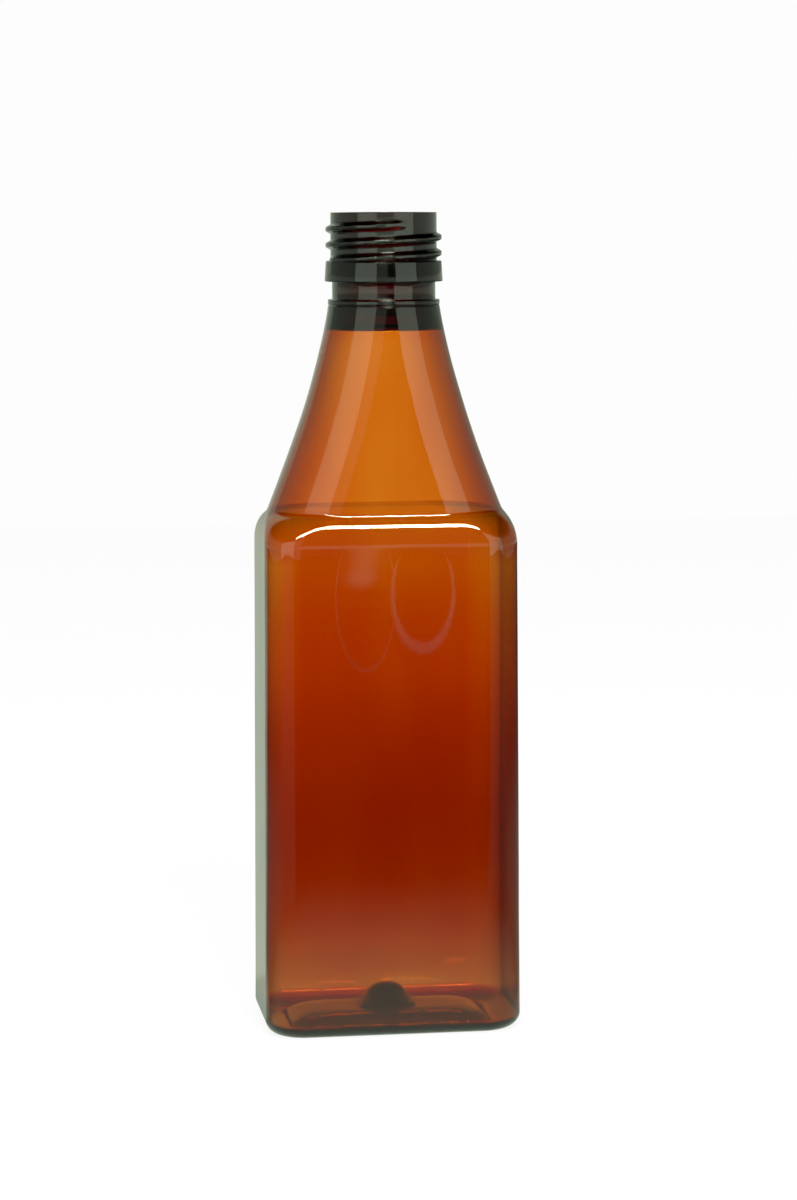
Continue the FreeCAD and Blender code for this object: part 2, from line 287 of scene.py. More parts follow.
def rounded(corners):
    """Turns corners (radius, height, rounding) into points with an arc at each one."""
    points = []
    for before, here, after in zip(corners, corners[1:], corners[2:]):
        steps = 5 if here[2] > 0.1 else 2
        place = Vector(here[:2])
        inward = (Vector(before[:2]) - place).normalized()
        onward = (Vector(after[:2]) - place).normalized()
        half = inward.angle(onward) / 2
        reach = here[2] / math.tan(half)
        centre = place + (inward + onward).normalized() * here[2] / math.sin(half)
        start = place + inward * reach - centre
        sweep = start.angle(place + onward * reach - centre)
        turn = math.copysign(sweep, onward.cross(inward))
        for step in range(steps + 1):
            point = centre + Matrix.Rotation(turn * step / steps, 2) @ start
            points.append((point.x, point.y))
    return points


NECK = rounded([
    (RING_WIDTH / 2, RING_BOTTOM, 0),
    (RING_WIDTH / 2, MOULD_JOINT - 0.2, 0.05),
    (RING_WIDTH / 2 - GROOVE_DEPTH, MOULD_JOINT, 0.08),
    (RING_WIDTH / 2, MOULD_JOINT + 0.2, 0.05),
    (RING_WIDTH / 2, RING_TOP, EDGE),
    (RECESS_RADIUS, RING_TOP, EDGE),
    (RECESS_RADIUS, COLLAR_BOTTOM, EDGE),
    (COLLAR_LOW, COLLAR_BOTTOM, EDGE),
    (COLLAR_HIGH, COLLAR_TOP, 0.35),
    (LIP_RADIUS, COLLAR_TOP, 0.3),
    (LIP_RADIUS, TALL, 0.4),
    (BORE / 2, TALL, 0.4),
    (BORE / 2, TALL - BORE_REACH, 0),
])
print("neck outline:", len(NECK), "points")

# %% [markdown]
# ## The rings, from the gate round the lip to the inner floor
#
# The wall is one closed skin: it starts in the middle of the base outside, climbs to the
# lip, turns over and comes down inside. So all its rings fit in one list. Each ring keeps
# its size and four switches: how much it ripples, whether the thread may show on it, how
# far the gate lifts it, and whether it lies on the inside.

# %% Ring list
rings = []


def ring(height, half_width, half_depth, corner, ripple=0.0, thread=0.0, mound=0.0, inside=0.0):
    """Adds one level ring, with its sizes in the order that the guide line needs."""
    rings.append((half_width, half_depth, height, corner, ripple, thread, mound, inside))


def span(start, end, count):
    """Evenly spaced values, without the last one."""
    return [mix(start, end, step / count) for step in range(count)]


print("an even span:", span(0, 1, 4))

# %% [markdown]
# ## The base
#
# A flat blown base would bulge and rock, so the mould pushes it up into a low dome and the
# bottle stands on a narrow foot round it. In its middle is a dimple with the gate, where
# the preform was filled. Outside and inside follow the same rule, only lifted by the wall.

# %% Base sizes and dome rule
HEEL = 4.0
FOOT = 2.2
FOOT_CORNER = 6.0
PUSHUP = 2.8
PUSHUP_RUN = 9.0
DOME_CORNER = 4.0
DOME_STEPS = 14
CAP_STEPS = 16


def dome(foot_lift, top_lift, steps):
    """The push-up from its top down to the foot. The lifts raise it for the inner floor."""
    levels = []
    for angle in span(math.pi / 2, 0, steps) + [0.0]:
        lift = mix(foot_lift, top_lift, math.sin(angle) ** 2)
        run = HEEL + FOOT - foot_lift + (1 - math.cos(angle)) * PUSHUP_RUN
        corner = mix(FOOT_CORNER, DOME_CORNER, angle / (math.pi / 2)) + foot_lift
        height = lift + math.sin(angle) * PUSHUP
        levels.append((height, BODY_WIDTH / 2 - run, BODY_DEPTH / 2 - run, corner))
    return levels


def cap(level, steps):
    """Rings that shrink the dome's top to its middle, rounder as they go."""
    height, half_width, half_depth, _ = level
    levels = []
    for share in span(0, 1, steps):
        side = half_depth * share
        levels.append((height, mix(side, half_width * share, share), side, side))
    return levels


print("foot: %.1f mm wide" % FOOT)

# %% Base, outside
DIMPLE = 1.8
outer_dome = dome(0.0, 0.0, DOME_STEPS)
for level in cap(outer_dome[0], CAP_STEPS) + outer_dome:
    ring(*level, mound=DIMPLE)
print("base rings:", len(rings))

# %% [markdown]
# ## Heel, body, shoulder and slope
#
# The heel is an arc from the foot to the wall. The body was pressed flat on the polished
# mould and hardly ripples. The slope has no flat mould face, so it ripples most, halfway
# up. Rings lie closest round the crease, the sharpest bend of the blown part.

# %% Heel and body, outside
for angle in span(0, math.pi / 2, 10):
    height = HEEL * (1 - math.cos(angle))
    pull = HEEL * (1 - math.sin(angle))
    half_width, half_depth, corner = form(height)
    ring(height, half_width - pull, half_depth - pull, corner - pull * 0.5)
for height in span(HEEL, BODY_TOP, 32):
    ring(height, *form(height), ripple=1.0)
print("rings up to the shoulder:", len(rings))

# %% Shoulder and slope, outside
CREASE_REACH = 0.7
CREASE_LOW = CREASE_HEIGHT - CREASE_REACH
CREASE_HIGH = CREASE_HEIGHT + CREASE_REACH
SHOULDER_RIPPLE = 0.5
SLOPE_RIPPLE = 8.0


def slope_ripple(height):
    """How much the slope ripples: as the shoulder at its ends, most halfway."""
    share = (RING_BOTTOM - height) / SLOPE_RUN
    return SHOULDER_RIPPLE + SLOPE_RIPPLE * share * (1 - share)


for height in span(BODY_TOP, CREASE_LOW, 12) + span(CREASE_LOW, CREASE_HIGH, 9):
    ring(height, *soft_form(height), ripple=SHOULDER_RIPPLE)
for height in span(CREASE_HIGH, RING_BOTTOM, 38):
    ring(height, *form(height), ripple=slope_ripple(height))
print("rings up to the neck:", len(rings))

# %% [markdown]
# ## The neck and the bore
#
# The neck's outline is already a list of points. Only the upright band that carries the
# thread needs more: a ring every fifth of a millimetre, so the thread's flanks come out
# smooth. After the lip the list turns down the bore.

# %% Neck, outside and bore
THREAD_STEP = 0.2
BAND_LIMIT = 13.0
THREAD_LOW = COLLAR_BOTTOM + 2
LIP_EDGE = 0.3
STEP_EDGE = 0.12
previous = None
for radius, height in NECK:
    on_band = radius < BAND_LIMIT and height > COLLAR_TOP
    if previous and height - previous[1] > 3 * THREAD_STEP and on_band:
        gap = height - previous[1]
        for place in span(previous[1], height, round(gap / THREAD_STEP))[1:]:
            ring(place, radius, radius, radius, thread=1.0)
    on_thread = 1.0 if height > THREAD_LOW and radius > LIP_RADIUS - LIP_EDGE else 0.0
    ring(height, radius, radius, radius, thread=on_thread)
    previous = (radius, height)

for height in span(TALL - BORE_REACH, THICK_END, 10) + [THICK_END, THICK_END - STEP_EDGE]:
    ring(height, BORE / 2, BORE / 2, BORE / 2)
print("rings down to the blown wall:", len(rings))

# %% [markdown]
# ## The inside of the blown part
#
# The inside is the outside drawn in by the wall, square to the surface, so a leaning wall
# is drawn in further than an upright one. The inner floor follows the dome again, and has
# a mound of plastic that stayed thick round the gate and looks like a dark button.

# %% Inner rings
THIN_CORNER = 0.9
THIN_FROM = 45.0
LEAN_STEP = 0.5


def inner(height):
    """The inside's ring at a height: the outside drawn in by the wall, square to it."""
    half_width, half_depth, corner = form(height)
    above = form(height + LEAN_STEP)
    thick_face, thick_side = wall(height)
    lean_x = math.hypot(1, (above[0] - half_width) / LEAN_STEP)
    lean_y = math.hypot(1, (above[1] - half_depth) / LEAN_STEP)
    upward = min(max((height - THIN_FROM) / (BODY_TOP - THIN_FROM), 0.0), 1.0)
    thinner = 1.0 + THIN_CORNER * upward if height < BODY_TOP else 1.0
    return (
        half_width - thick_side * lean_x,
        half_depth - thick_face * lean_y,
        corner - thick_face * thinner,
    )


for height in span(THIN_START, CREASE_HIGH, 36):
    ring(height, *inner(height), ripple=slope_ripple(height), inside=1.0)
for height in span(CREASE_HIGH, BODY_TOP, 14):
    ring(height, *inner(height), ripple=SHOULDER_RIPPLE, inside=1.0)
for height in span(BODY_TOP, HEEL, 26):
    ring(height, *inner(height), ripple=1.0, inside=1.0)
print("rings down to the inner heel:", len(rings))

# %% Inner heel and floor
FOOT_WALL = 0.35
CENTRE_WALL = 0.9
MOUND = 5.4
inner_dome = dome(FOOT_WALL, CENTRE_WALL, DOME_STEPS)
inner_dome.reverse()
start = inner(HEEL)
end = inner_dome[0]
for share in span(0, 1, 12):
    angle = share * math.pi / 2
    ring(
        HEEL - (HEEL - end[0]) * math.sin(angle),
        end[1] + (start[0] - end[1]) * math.cos(angle),
        end[2] + (start[1] - end[2]) * math.cos(angle),
        mix(start[2], end[3], share),
    )
for level in inner_dome:
    ring(*level, mound=MOUND)
inner_cap = cap(inner_dome[-1], CAP_STEPS)
inner_cap.reverse()
for level in inner_cap:
    ring(*level, mound=MOUND)
print("all rings:", len(rings))

# %% [markdown]
# ## The guide line
#
# The rings go to the tree as a mesh with one vertex for each ring: x is the half width, y
# the half depth and z the height. What doesn't fit in a place is kept as attributes. So
# the tree has no long list inside it, and a new form needs only new rings.

# %% Guide line mesh
guide = bpy.data.meshes.new("bottle_guide")
guide.from_pydata([[value * MM for value in item[:3]] for item in rings], [], [])
LAYERS = (
    ("corner", 3, MM), ("ripple", 4, 1.0), ("thread", 5, 1.0), ("mound", 6, MM), ("inside", 7, 1.0))
for name, place, scale in LAYERS:
    layer = guide.attributes.new(name, "FLOAT", "POINT")
    layer.data.foreach_set("value", [item[place] * scale for item in rings])
bottle = bpy.data.objects.new("bottle_shell", guide)
bpy.context.scene.collection.objects.link(bottle)
print("guide line: %d vertices, %d attributes" % (len(guide.vertices), len(LAYERS)))

# %% [markdown]
# ## The shell, built by Geometry Nodes
#
# The tree lays a grid with a row for each ring and a column for each direction round the
# axis. Every vertex looks up its ring, follows its direction out to the rounded rectangle,
# and adds the thread where its ring allows. Then the seam and the two poles are merged.
# Its sizes are named inputs, so the finish can be changed without opening the tree.

# %% Tree and its named inputs
tree = bpy.data.node_groups.new("Bottle shell", "GeometryNodeTree")
tree.is_modifier = True
tree.interface.new_socket("Geometry", in_out="INPUT", socket_type="NodeSocketGeometry")
tree.interface.new_socket("Geometry", in_out="OUTPUT", socket_type="NodeSocketGeometry")
SHELL_INPUTS = {
    "Columns": ("NodeSocketInt", 256),
    "Squareness": ("NodeSocketFloat", BODY_DEPTH / BODY_WIDTH),
    "Corner share": ("NodeSocketFloat", 0.15),
    "Thread pitch": ("NodeSocketFloat", 3.7 * MM),
    "Thread height": ("NodeSocketFloat", (13.7 - LIP_RADIUS) * MM),
    "Thread half base": ("NodeSocketFloat", 1.2 * MM),
    "Thread half crest": ("NodeSocketFloat", 0.35 * MM),
    "Thread turns": ("NodeSocketFloat", 2.33),
    "Thread top": ("NodeSocketFloat", (TALL - 2.75) * MM),
    "Thread end turn": ("NodeSocketFloat", 289 / 360),
    "Thread fade": ("NodeSocketFloat", 32 / 360),
    "Ripple": ("NodeSocketFloat", 0.20 * MM),
    "Wall drift": ("NodeSocketFloat", 0.11 * MM),
    "Ripple size": ("NodeSocketFloat", 45.0),
    "Seed": ("NodeSocketFloat", 4.0),
    "Mound radius": ("NodeSocketFloat", 6.7 * MM),
    "Bulge": ("NodeSocketFloat", 0.24 * MM),
    "Bulge centre": ("NodeSocketVector", (-8.0 * MM, 0.0, 104.0 * MM)),
    "Bulge size": ("NodeSocketVector", (5.5 * MM, 1.0, 8.0 * MM)),
    "Material": ("NodeSocketMaterial", None),
}
socket_ids = {}
for name, (kind, _) in SHELL_INPUTS.items():
    socket = tree.interface.new_socket(name, in_out="INPUT", socket_type=kind)
    socket_ids[name] = socket.identifier
given = add(tree, "NodeGroupInput").outputs
print("tree inputs:", ", ".join(SHELL_INPUTS))

# %% [markdown]
# ## A grid that becomes the wall
#
# A grid already has its faces in neat rows. Whole-number division of a vertex's index gives
# its ring, and the remainder gives its column. The last column falls on the first one: it
# is the seam that is merged at the end.

# %% Grid of rings and columns
columns_and_seam = add(tree, "FunctionNodeIntegerMath", {0: given["Columns"], 1: 1})
ring_count = add(tree, "GeometryNodeAttributeDomainSize", {0: given["Geometry"]})
grid = add(tree, "GeometryNodeMeshGrid", {"Vertices X": ring_count, "Vertices Y": columns_and_seam})
index = add(tree, "GeometryNodeInputIndex")
row = add(tree, "FunctionNodeIntegerMath", {0: index, 1: columns_and_seam}, operation="DIVIDE_FLOOR")
column = add(tree, "FunctionNodeIntegerMath", {0: index, 1: columns_and_seam}, operation="MODULO")
print("grid nodes:", len(tree.nodes))

# %% [markdown]
# ## Directions round the axis
#
# Even angles would leave the narrow sides with few columns and the corners coarse. So the
# angle gets a small wave with four crests, which crowds columns at the four corners, and
# the circle is squashed to the body's own proportion before directions are taken from it.

# %% Direction of each column, closer together at the body's corners
turn = add(tree, "ShaderNodeMath", {0: column, 1: given["Columns"]}, operation="DIVIDE")
even_angle = add(tree, "ShaderNodeMath", {0: turn, 1: math.tau}, operation="MULTIPLY")
four_times = add(tree, "ShaderNodeMath", {0: even_angle, 1: 4.0}, operation="MULTIPLY")
wave = add(tree, "ShaderNodeMath", {0: four_times}, operation="SINE")
angle = add(
    tree, "ShaderNodeMath", {0: wave, 1: given["Corner share"], 2: even_angle},
    operation="MULTIPLY_ADD",
)
even_x = add(tree, "ShaderNodeMath", {0: angle}, operation="COSINE")
even_y = add(tree, "ShaderNodeMath", {0: angle}, operation="SINE")
flat_y = add(tree, "ShaderNodeMath", {0: even_y, 1: given["Squareness"]}, operation="MULTIPLY")
raw = add(tree, "ShaderNodeCombineXYZ", {0: even_x, 1: flat_y})
direction = add(tree, "ShaderNodeVectorMath", {0: raw}, operation="NORMALIZE")
unsigned = add(tree, "ShaderNodeVectorMath", {0: direction}, operation="ABSOLUTE")
across = add(tree, "ShaderNodeSeparateXYZ", {0: unsigned})
toward_x = add(tree, "ShaderNodeMath", {0: across.outputs[0], 1: 1e-6}, operation="MAXIMUM")
toward_y = add(tree, "ShaderNodeMath", {0: across.outputs[1], 1: 1e-6}, operation="MAXIMUM")
print("with directions:", len(tree.nodes))

# %% [markdown]
# ## Looking up the ring
#
# Sample Index reads the guide line's vertex whose number is the row. Its position gives the
# half width, half depth and height, and its attributes give the corner and the switches.

# %% Each vertex looks up its ring
place = add(tree, "GeometryNodeInputPosition")
guide_size = add(
    tree, "GeometryNodeSampleIndex",
    {0: given["Geometry"], 1: place, 2: row}, data_type="FLOAT_VECTOR", domain="POINT",
)
half = add(tree, "ShaderNodeSeparateXYZ", {0: guide_size})
looked_up = {}
for name, _, _ in LAYERS:
    stored = add(tree, "GeometryNodeInputNamedAttribute", {0: name}, data_type="FLOAT")
    looked_up[name] = add(
        tree, "GeometryNodeSampleIndex", {0: given["Geometry"], 1: stored, 2: row},
        data_type="FLOAT", domain="POINT",
    )
print("looked up:", ", ".join(looked_up))

# %% [markdown]
# ## How far out the wall is
#
# By symmetry one quarter is enough. A direction meets the straight side, the straight front
# or the corner's arc, and the arc's distance is the far root of a quadratic. When the
# corner is as large as both halves, only the arc is left, and the ring is a true circle.

# %% How far the rounded rectangle is in that direction
core_x = add(tree, "ShaderNodeMath", {0: half.outputs[0], 1: looked_up["corner"]}, operation="SUBTRACT")
core_y = add(tree, "ShaderNodeMath", {0: half.outputs[1], 1: looked_up["corner"]}, operation="SUBTRACT")
to_side = add(tree, "ShaderNodeMath", {0: half.outputs[0], 1: toward_x}, operation="DIVIDE")
to_front = add(tree, "ShaderNodeMath", {0: half.outputs[1], 1: toward_y}, operation="DIVIDE")
side_y = add(tree, "ShaderNodeMath", {0: to_side, 1: toward_y}, operation="MULTIPLY")
front_x = add(tree, "ShaderNodeMath", {0: to_front, 1: toward_x}, operation="MULTIPLY")
core = add(tree, "ShaderNodeCombineXYZ", {0: core_x, 1: core_y})
along = add(tree, "ShaderNodeVectorMath", {0: unsigned, 1: core}, operation="DOT_PRODUCT")
core_square = add(tree, "ShaderNodeVectorMath", {0: core, 1: core}, operation="DOT_PRODUCT")
along_square = add(
    tree, "ShaderNodeMath", {0: along.outputs["Value"], 1: along.outputs["Value"]}, operation="MULTIPLY")
corner_square = add(
    tree, "ShaderNodeMath", {0: looked_up["corner"], 1: looked_up["corner"]}, operation="MULTIPLY")
left_over = add(
    tree, "ShaderNodeMath", {0: along_square, 1: core_square.outputs["Value"]}, operation="SUBTRACT")
inside_root = add(tree, "ShaderNodeMath", {0: left_over, 1: corner_square}, operation="ADD")
never_less = add(tree, "ShaderNodeMath", {0: inside_root, 1: 0.0}, operation="MAXIMUM")
chord = add(tree, "ShaderNodeMath", {0: never_less}, operation="SQRT")
to_corner = add(tree, "ShaderNodeMath", {0: along.outputs["Value"], 1: chord}, operation="ADD")
on_side = add(tree, "ShaderNodeMath", {0: side_y, 1: core_y}, operation="LESS_THAN")
on_front = add(tree, "ShaderNodeMath", {0: front_x, 1: core_x}, operation="LESS_THAN")
side_or_corner = add(tree, "ShaderNodeMix", {0: on_side, 2: to_corner, 3: to_side})
reach = add(tree, "ShaderNodeMix", {0: on_front, 2: side_or_corner, 3: to_front})
print("with the rounded rectangle:", len(tree.nodes))

# %% [markdown]
# ## The screw thread
#
# On the real neck the thread is cut into the steel neck tool as one groove along a helix,
# and it fades out at both ends so the tool can open. It could be a swept curve, but that
# would lie on the neck as a second skin. Instead each vertex works out how many turns it is
# from the thread's start, how far it is from the helix, and rises by that. The wall stays one.

# %% The nearest turn of the helix
compass = add(tree, "ShaderNodeSeparateXYZ", {0: direction})
bearing = add(
    tree, "ShaderNodeMath", {0: compass.outputs[1], 1: compass.outputs[0]}, operation="ARCTAN2")
turned = add(tree, "ShaderNodeMath", {0: bearing, 1: math.tau}, operation="DIVIDE")
from_end = add(tree, "ShaderNodeMath", {0: given["Thread end turn"], 1: turned}, operation="SUBTRACT")
first_turn = add(tree, "ShaderNodeMath", {0: from_end}, operation="FRACT")
dropped = add(tree, "ShaderNodeMath", {0: given["Thread top"], 1: half.outputs[2]}, operation="SUBTRACT")
in_turns = add(tree, "ShaderNodeMath", {0: dropped, 1: given["Thread pitch"]}, operation="DIVIDE")
past_first = add(tree, "ShaderNodeMath", {0: in_turns, 1: first_turn}, operation="SUBTRACT")
nearest = add(tree, "ShaderNodeMath", {0: past_first}, operation="ROUND")
along_thread = add(tree, "ShaderNodeMath", {0: nearest, 1: first_turn}, operation="ADD")
off_turns = add(tree, "ShaderNodeMath", {0: past_first, 1: nearest}, operation="SUBTRACT")
off_line = add(tree, "ShaderNodeMath", {0: off_turns, 1: given["Thread pitch"]}, operation="MULTIPLY")
off = add(tree, "ShaderNodeMath", {0: off_line}, operation="ABSOLUTE")
print("thread: one turn every %.1f mm" % (SHELL_INPUTS["Thread pitch"][1] / MM))

# %% The thread's section and its two soft ends
flank = add(
    tree, "ShaderNodeMapRange",
    {0: off, 1: given["Thread half base"], 2: given["Thread half crest"], 3: 0.0, 4: 1.0},
    interpolation_type="SMOOTHSTEP",
)
to_far_end = add(tree, "ShaderNodeMath", {0: given["Thread turns"], 1: along_thread}, operation="SUBTRACT")
to_end = add(tree, "ShaderNodeMath", {0: along_thread, 1: to_far_end}, operation="MINIMUM")
risen = add(
    tree, "ShaderNodeMapRange", {0: to_end, 1: 0.0, 2: given["Thread fade"], 3: 0.0, 4: 1.0},
    interpolation_type="SMOOTHSTEP",
)
bump = add(tree, "ShaderNodeMath", {0: flank, 1: risen}, operation="MULTIPLY")
bump_height = add(tree, "ShaderNodeMath", {0: bump, 1: given["Thread height"]}, operation="MULTIPLY")
thread_reach = add(tree, "ShaderNodeMath", {0: bump_height, 1: LIP_RADIUS * MM}, operation="ADD")
allowed = add(tree, "ShaderNodeMath", {0: thread_reach, 1: looked_up["thread"]}, operation="MULTIPLY")
with_thread = add(tree, "ShaderNodeMath", {0: reach, 1: allowed}, operation="MAXIMUM")
print("with the thread:", len(tree.nodes))

# %% [markdown]
# ## Ripples and an uneven wall
#
# Blown plastic is never quite flat: the skin waves softly, and the inside drifts on its own
# in upright streaks, since the plastic was drawn downwards. Both are slow noise. The skin
# sinks rather than swells, so the bottle stays inside its real size.

# %% Ripples of the skin and drift of the inside
LOWEST_NOISE = 0.3
STREAK_STRETCH = (1.6, 1.6, 0.5)
flat_place = add(tree, "ShaderNodeVectorMath", {0: direction, "Scale": with_thread}, operation="SCALE")
flat_xy = add(tree, "ShaderNodeSeparateXYZ", {0: flat_place})
smooth_place = add(
    tree, "ShaderNodeCombineXYZ", {0: flat_xy.outputs[0], 1: flat_xy.outputs[1], 2: half.outputs[2]})
noise = add(
    tree, "ShaderNodeTexNoise",
    {"Vector": smooth_place, "W": given["Seed"], "Scale": given["Ripple size"], "Detail": 1.0,
     "Roughness": 0.3},
    noise_dimensions="4D",
)
centred = add(tree, "ShaderNodeMath", {0: noise, 1: LOWEST_NOISE}, operation="SUBTRACT")
ripple = add(tree, "ShaderNodeMath", {0: centred, 1: given["Ripple"]}, operation="MULTIPLY")
ripple_here = add(tree, "ShaderNodeMath", {0: ripple, 1: looked_up["ripple"]}, operation="MULTIPLY")
other_seed = add(tree, "ShaderNodeMath", {0: given["Seed"], 1: 5.0}, operation="ADD")
streaks = add(tree, "ShaderNodeVectorMath", {0: smooth_place, 1: STREAK_STRETCH}, operation="MULTIPLY")
wall_noise = add(
    tree, "ShaderNodeTexNoise",
    {"Vector": streaks, "W": other_seed, "Scale": given["Ripple size"], "Detail": 1.0},
    noise_dimensions="4D",
)
off_mean = add(tree, "ShaderNodeMath", {0: wall_noise, 1: 0.5}, operation="SUBTRACT")
drift = add(tree, "ShaderNodeMath", {0: off_mean, 1: given["Wall drift"]}, operation="MULTIPLY")
drift_here = add(
    tree, "ShaderNodeMath", {0: drift, 1: looked_up["inside"], 2: ripple_here}, operation="MULTIPLY_ADD")
rippled = add(tree, "ShaderNodeMath", {0: with_thread, 1: drift_here}, operation="SUBTRACT")
print("with ripples:", len(tree.nodes))

# %% [markdown]
# ## A soft bulge and the gate's mound
#
# High on the front the wall stands out a quarter of a millimetre in one soft spot, which
# catches the light as a pale patch. In the middle of the base every ring is lifted by its
# own share, outside as a dimple and inside as a round mound.

# %% Soft bulge on the front
from_centre = add(
    tree, "ShaderNodeVectorMath", {0: smooth_place, 1: given["Bulge centre"]}, operation="SUBTRACT")
in_sizes = add(tree, "ShaderNodeVectorMath", {0: from_centre, 1: given["Bulge size"]}, operation="DIVIDE")
how_far = add(tree, "ShaderNodeVectorMath", {0: in_sizes, 1: in_sizes}, operation="DOT_PRODUCT")
falling = add(tree, "ShaderNodeMath", {0: how_far.outputs["Value"], 1: -1.0}, operation="MULTIPLY")
bell = add(tree, "ShaderNodeMath", {0: falling}, operation="EXPONENT")
on_face = add(tree, "ShaderNodeMath", {0: compass.outputs[1], 1: 0.0}, operation="LESS_THAN")
bulge = add(tree, "ShaderNodeMath", {0: bell, 1: on_face}, operation="MULTIPLY")
bulged = add(tree, "ShaderNodeMath", {0: bulge, 1: given["Bulge"], 2: rippled}, operation="MULTIPLY_ADD")
final_reach = add(tree, "ShaderNodeMath", {0: bulged, 1: 0.0}, operation="MAXIMUM")
print("with the soft bulge:", len(tree.nodes))

# %% Mound at the gate, and the end place of each vertex
MOUND_POWER = 2.8
flat_end = add(tree, "ShaderNodeVectorMath", {0: direction, "Scale": final_reach}, operation="SCALE")
end_xy = add(tree, "ShaderNodeSeparateXYZ", {0: flat_end})
mound_share = add(tree, "ShaderNodeMath", {0: final_reach, 1: given["Mound radius"]}, operation="DIVIDE")
falling_off = add(tree, "ShaderNodeMath", {0: mound_share, 1: MOUND_POWER}, operation="POWER")
mound_form = add(tree, "ShaderNodeMapRange", {0: falling_off, 1: 1.0, 2: 0.0, 3: 0.0, 4: 1.0})
end_height = add(
    tree, "ShaderNodeMath", {0: mound_form, 1: looked_up["mound"], 2: half.outputs[2]},
    operation="MULTIPLY_ADD",
)
end_place = add(
    tree, "ShaderNodeCombineXYZ", {0: end_xy.outputs[0], 1: end_xy.outputs[1], 2: end_height})
print("with the mound:", len(tree.nodes))

# %% [markdown]
# ## Closing the skin
#
# The inside is marked with an attribute that the material reads. Then the grid takes its
# places, and merging by a tiny distance welds the seam and draws the first and last ring
# together into the poles. The tree ends in a real mesh with its material set.

# %% Set the places, weld and finish
WELD = 0.002 * MM
marked = add(
    tree, "GeometryNodeStoreNamedAttribute",
    {0: grid, "Name": "inner_wall", "Value": looked_up["inside"]}, data_type="FLOAT", domain="POINT",
)
placed = add(tree, "GeometryNodeSetPosition", {0: marked, 2: end_place})
closed = add(tree, "GeometryNodeMergeByDistance", {0: placed, "Distance": WELD})
smooth = add(tree, "GeometryNodeSetShadeSmooth", {0: closed})
real = add(tree, "GeometryNodeRealizeInstances", {0: smooth})
finished = add(tree, "GeometryNodeSetMaterial", {0: real, 2: given["Material"]})
add(tree, "NodeGroupOutput", {0: finished})
print("shell tree:", len(tree.nodes), "nodes")

# %% [markdown]
# ## Amber PET
#
# Polyethylene terephthalate, dyed amber, moulded at the neck and blown against polished
# steel. The eye gets a hard clear gloss from the surface and a colour from the depth: thin
# wall is orange, thick wall nearly black. So the surface is almost colourless, and the dye
# is a volume that absorbs blue strongly, green well and red a little. The dark edges are
# painted shade: the surface colour that light passes through is darkened where the wall is
# seen at a slant.

# %% Painted shade at the edges, where the wall is seen at a slant
SEEN_SQUARE = "#ffffff"
PAINTED_EDGE_SHADE = "#404040"
pet = bpy.data.materials.new("amber PET, stretch blow-moulded")
pet.use_nodes = True
pet.node_tree.nodes.clear()
nodes = pet.node_tree
# Painted shade: the base colour fades from white, seen square, to dark grey at a slant, which darkens the
# edges.
slant = add(nodes, "ShaderNodeLayerWeight", {"Blend": 0.5})
edge_shade_tint = add(
    nodes, "ShaderNodeMix", {0: slant.outputs["Facing"], 6: srgb(SEEN_SQUARE), 7: srgb(PAINTED_EDGE_SHADE)},
    data_type="RGBA")
print("material:", pet.name)

# %% [markdown]
# ## Two hazy loops
#
# High on the front are two long hanging loops, the right one wide at its foot. On a real
# bottle they are likely faint folds from the blowing. They could be pressed into the shell,
# but so fine a crease needs many more faces, so they are drawn in the gloss as lines of
# haze. Each is an ellipse in the bottle's own millimetres, and its line widens downwards
# and fades out at the top: first its middle and half sizes, then its strength and width.

# %% Hazy loops
spot = add(nodes, "ShaderNodeTexCoord")
LOOPS = (
    ((6.3, -19.0, 106.0), (7.2, 1000.0, 13.0), 1.0, 0.25),
    ((-7.2, -19.0, 105.0), (7.0, 1000.0, 17.0), 0.6, 0.10),
)
depth_place = add(nodes, "ShaderNodeSeparateXYZ", {0: spot.outputs["Object"]})
on_front = add(nodes, "ShaderNodeMath", {0: depth_place.outputs[1], 1: 0.0}, operation="LESS_THAN")
marks = 0.0
for middle, half_size, strength, width in LOOPS:
    moved = add(
        nodes, "ShaderNodeVectorMath",
        {0: spot.outputs["Object"], 1: [value * MM for value in middle]}, operation="SUBTRACT")
    scaled = add(
        nodes, "ShaderNodeVectorMath", {0: moved, 1: [value * MM for value in half_size]}, operation="DIVIDE")
    round_it = add(nodes, "ShaderNodeVectorMath", {0: scaled}, operation="LENGTH")
    off_line = add(nodes, "ShaderNodeMath", {0: round_it.outputs["Value"], 1: 1.0}, operation="SUBTRACT")
    beside_line = add(nodes, "ShaderNodeMath", {0: off_line}, operation="ABSOLUTE")
    height_in_loop = add(nodes, "ShaderNodeSeparateXYZ", {0: scaled})
    thickness = add(
        nodes, "ShaderNodeMapRange", {0: height_in_loop.outputs[2], 1: 0.9, 2: -1.0, 3: 0.04, 4: width})
    share = add(nodes, "ShaderNodeMath", {0: beside_line, 1: thickness}, operation="DIVIDE")
    mark = add(
        nodes, "ShaderNodeMapRange", {0: share, 1: 1.0, 2: 0.0, 3: 0.0, 4: strength},
        interpolation_type="SMOOTHSTEP")
    fading = add(
        nodes, "ShaderNodeMapRange", {0: height_in_loop.outputs[2], 1: 0.85, 2: 0.3, 3: 0.0, 4: 1.0},
        interpolation_type="SMOOTHSTEP")
    kept = add(nodes, "ShaderNodeMath", {0: mark, 1: fading}, operation="MULTIPLY")
    marks = add(nodes, "ShaderNodeMath", {0: kept, 1: marks}, operation="MAXIMUM")
print("hazy loops:", len(LOOPS))

# %% [markdown]
# ## Gloss and dye
#
# Polished steel leaves the skin nearly as smooth as glass. The dye's strength is worked out
# with the wall: a tenth of a millimetre more is a clear step in colour. It only absorbs and
# doesn't scatter, so the plastic stays clear.

